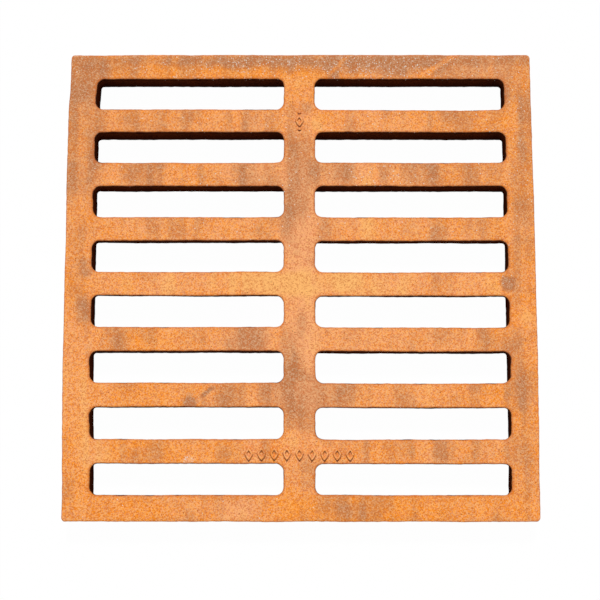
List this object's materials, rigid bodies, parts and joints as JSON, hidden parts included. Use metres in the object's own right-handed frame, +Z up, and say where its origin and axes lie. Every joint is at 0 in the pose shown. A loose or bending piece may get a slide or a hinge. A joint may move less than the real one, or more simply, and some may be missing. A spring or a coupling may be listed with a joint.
{
  "type": "drain grate",
  "caption": "Flat square cast-iron grate with columns of long round-cornered slots, laid in a floor or road frame to drain it.",
  "frame": {"origin": "centre of the underside, the flat face that rests in the frame", "axes": "+Z up through the walking face; X along the slots; +Y towards the edge that is at the top of the picture"},
  "size_m": [0.603, 0.603, 0.038],
  "materials": {
    "rusted_iron": "raw sand-cast iron, rusted orange all over, matt"
  },
  "bodies": {
    "root": {"grate": "rusted_iron"}
  },
  "joints": []
}
